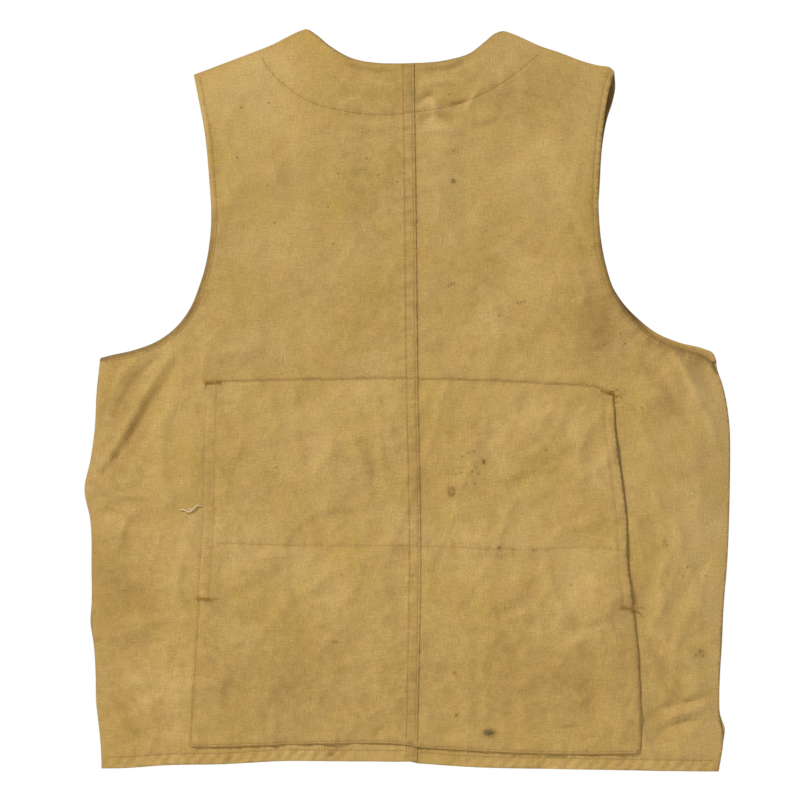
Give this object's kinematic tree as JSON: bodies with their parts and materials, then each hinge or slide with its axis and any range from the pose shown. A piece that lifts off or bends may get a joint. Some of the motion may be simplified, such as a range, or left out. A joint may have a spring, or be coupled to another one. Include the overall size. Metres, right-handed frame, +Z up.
{
  "type": "fishing vest",
  "caption": "Sleeveless canvas field vest with a V neck, a button front, flapped chest and lower pockets, and a full-width game pouch across the back.",
  "frame": {"origin": "midway between the two points where the shoulder seams meet the neck", "axes": "+Z up along the wearer's back, +Y out of the back of the vest, +X towards the wearer's left"},
  "size_m": [0.594, 0.0742, 0.6798],
  "materials": {
    "canvas": "matt cotton duck, washed and faded",
    "lining": "thin cotton drill",
    "thread": "brown cotton thread",
    "snap": "dull brass",
    "button": "brown horn-like plastic"
  },
  "bodies": {
    "root": {"back_left_panel": "canvas", "back_right_panel": "canvas", "back_neck_facing": "canvas", "armhole_facing_left": "canvas", "armhole_facing_right": "canvas", "front_left_side": "canvas", "front_right_side": "canvas", "pouch_left_half": "canvas", "pouch_right_half": "canvas", "pouch_lining": "lining", "pouch_bar_tacks": "thread"},
    "front_left": {"front_left_panel": "canvas", "front_left_facing": "canvas", "chest_pocket_left_gusset": "canvas", "chest_pocket_left_wall": "canvas", "chest_snap_left_stud": "snap", "lower_pocket_left_gusset": "canvas", "lower_pocket_left_wall": "canvas", "lower_snap_left_stud": "snap"},
    "chest_flap_left": {"chest_flap_left": "canvas", "chest_flap_left_lining": "lining", "chest_snap_left_cap": "snap", "chest_snap_left_socket": "snap"},
    "lower_flap_left": {"lower_flap_left": "canvas", "lower_flap_left_lining": "lining", "lower_snap_left_cap": "snap", "lower_snap_left_socket": "snap"},
    "front_right": {"front_right_panel": "canvas", "front_right_facing": "canvas", "chest_pocket_right_gusset": "canvas", "chest_pocket_right_wall": "canvas", "chest_snap_right_stud": "snap", "lower_pocket_right_gusset": "canvas", "lower_pocket_right_wall": "canvas", "lower_snap_right_stud": "snap", "front_buttons": "button", "button_threads": "thread"},
    "chest_flap_right": {"chest_flap_right": "canvas", "chest_flap_right_lining": "lining", "chest_snap_right_cap": "snap", "chest_snap_right_socket": "snap"},
    "lower_flap_right": {"lower_flap_right": "canvas", "lower_flap_right_lining": "lining", "lower_snap_right_cap": "snap", "lower_snap_right_socket": "snap"}
  },
  "joints": [
    {"name": "front_left_opening", "type": "hinge", "parent": "root", "child": "front_left", "pos_m": [0.085, -0.016, 0], "axis": [-0.2768, 0, 0.9609], "range_deg": [0, 90]},
    {"name": "chest_flap_left_lift", "type": "hinge", "parent": "front_left", "child": "chest_flap_left", "pos_m": [0.085, -0.016, -0.2203], "axis": [-1, 0, 0], "range_deg": [0, 120]},
    {"name": "lower_flap_left_lift", "type": "hinge", "parent": "front_left", "child": "lower_flap_left", "pos_m": [0.1175, -0.016, -0.4353], "axis": [-1, 0, 0], "range_deg": [0, 90]},
    {"name": "front_right_opening", "type": "hinge", "parent": "root", "child": "front_right", "pos_m": [-0.085, -0.016, 0], "axis": [-0.2768, 0, -0.9609], "range_deg": [0, 90]},
    {"name": "chest_flap_right_lift", "type": "hinge", "parent": "front_right", "child": "chest_flap_right", "pos_m": [-0.085, -0.016, -0.2203], "axis": [-1, 0, 0], "range_deg": [0, 120]},
    {"name": "lower_flap_right_lift", "type": "hinge", "parent": "front_right", "child": "lower_flap_right", "pos_m": [-0.1175, -0.016, -0.4353], "axis": [-1, 0, 0], "range_deg": [0, 90]}
  ]
}
